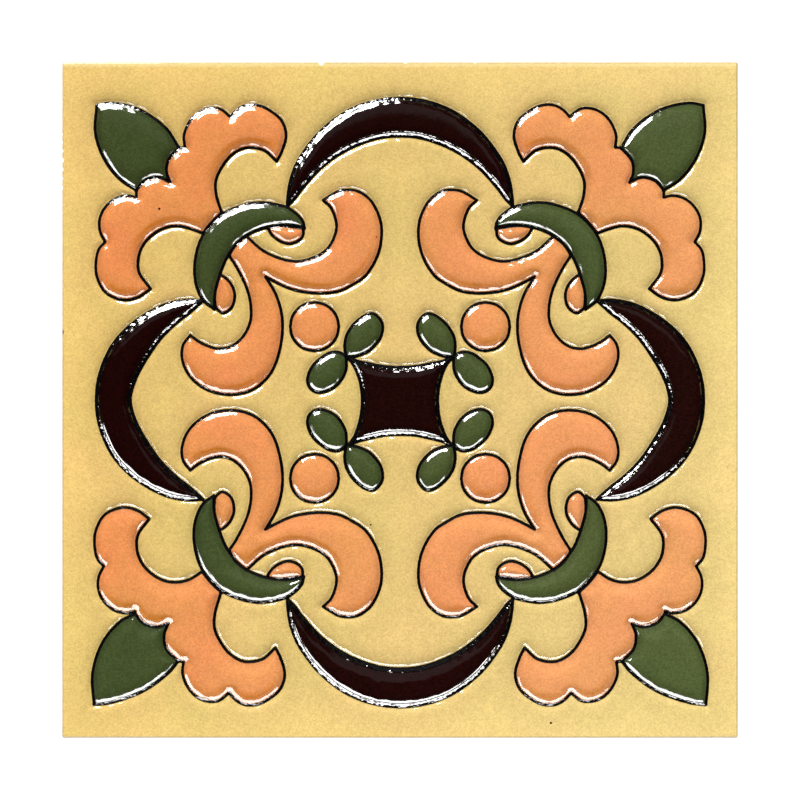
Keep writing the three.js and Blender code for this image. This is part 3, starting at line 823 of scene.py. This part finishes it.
def softbox(name, place, target, width, height, power, mirrored):
    """A rectangular lamp. It is either mirrored in the glaze or it gives the soft shade."""
    data = bpy.data.lights.new(name, "AREA")
    data.shape = "RECTANGLE"
    data.size, data.size_y, data.energy = width * MM, height * MM, power
    lamp = bpy.data.objects.new(name, data)
    lamp.location = Vector(place) * MM
    lamp.rotation_euler = (Vector(target) - Vector(place)).to_track_quat("-Z", "Y").to_euler()
    lamp.visible_glossy, lamp.visible_diffuse, lamp.visible_camera = mirrored, not mirrored, False
    bpy.context.scene.collection.objects.link(lamp)
    return lamp


class TILE_OT_stage(bpy.types.Operator):
    """Adds the floor, the studio lamps and the camera straight above"""

    bl_idname = "tile.stage"
    bl_label = "Stage"

    def execute(self, context):
        scene = context.scene
        size = 3000.0
        floor = make_mesh("floor", [(-size, -size, 0), (size, -size, 0), (size, size, 0),
                                    (-size, size, 0)], [(0, 1, 2, 3)])
        material, tree, shader, place = new_material("Matt white paper")
        fibre = add_node(tree, NOISE, {"Vector": place, "Scale": scale_of(30)})
        colour = add_node(tree, MIX, {0: fibre, 6: (*scene.tile_colours.floor, 1),
                                      7: (0.9, 0.9, 0.9, 1)}, 2, data_type="RGBA")
        tree.links.new(colour, shader.inputs["Base Color"])
        shader.inputs["Roughness"].default_value = 0.9
        shader.inputs["Specular IOR Level"].default_value = 0.1
        floor.data.materials.append(material)
        floor.visible_glossy = False

        # The window gives the short highlights on north-west edges, the strip the pale rims on
        # south edges, and the veil a faint sheen on whatever leans north.
        key = softbox("north_key", (-400, 4400, 3800), (0, 0, 0), 2400, 2400, 515.0, False)
        key.data.use_shadow = False
        softbox("north_west_window", (-105, 216, 84), (0, 0, 8), 170, 100, 3.3, True)
        softbox("south_strip", (-150, -700, 240), (0, 0, 8), 2600, 400, 60.0, True)
        softbox("north_veil", (0, 1117, 1900), (0, 1117, 0), 2000, 1565, 1.3, True)

        # The world lights the tile, but the glaze mirrors only the lamps.
        world = bpy.data.worlds.new("Studio")
        world.use_nodes = True
        world.node_tree.nodes["Background"].inputs[0].default_value = (1, 1, 1, 1)
        world.node_tree.nodes["Background"].inputs[1].default_value = 0.7
        world.cycles_visibility.glossy = False
        scene.world = world

        camera_data = bpy.data.cameras.new("camera")
        camera_data.lens, camera_data.sensor_width = LENS, SENSOR
        frame_width, face_level = SIDE * PHOTO_PIXELS / TILE_PIXELS, 7.4
        camera = bpy.data.objects.new("camera", camera_data)
        camera.location = (0, 0, (frame_width * LENS / SENSOR + face_level) * MM)
        camera_data.clip_start = 0.01
        scene.collection.objects.link(camera)
        scene.camera = camera
        scene.view_settings.view_transform = "Standard"
        return {"FINISHED"}


class TILE_PT_panel(bpy.types.Panel):
    """Lists the tile's pieces, its sizes and its colours"""

    bl_idname = "TILE_PT_panel"
    bl_label = "Relief Tile"
    bl_space_type = "VIEW_3D"
    bl_region_type = "UI"
    bl_category = "Tile"

    def draw(self, context):
        for operator in OPERATORS:
            self.layout.operator(operator.bl_idname)
        for group in (context.scene.tile_sizes, context.scene.tile_colours):
            for key in group.__annotations__:
                self.layout.prop(group, key)


OPERATORS = (TILE_OT_clay_body, TILE_OT_ground_glaze, TILE_OT_terracotta_glaze,
             TILE_OT_green_glaze, TILE_OT_brown_glaze, TILE_OT_stage)


def register():
    for cls in (TileSizes, TileColours, *OPERATORS, TILE_PT_panel):
        bpy.utils.register_class(cls)
    bpy.types.Scene.tile_sizes = PointerProperty(type=TileSizes)
    bpy.types.Scene.tile_colours = PointerProperty(type=TileColours)


def unregister():
    del bpy.types.Scene.tile_colours, bpy.types.Scene.tile_sizes
    for cls in reversed((TileSizes, TileColours, *OPERATORS, TILE_PT_panel)):
        bpy.utils.unregister_class(cls)


def main():
    register()
    bpy.ops.tile.clay_body()
    bpy.ops.tile.ground_glaze()
    bpy.ops.tile.terracotta_glaze()
    bpy.ops.tile.green_glaze()
    bpy.ops.tile.brown_glaze()
    bpy.ops.tile.stage()


if __name__ == "__main__":
    main()
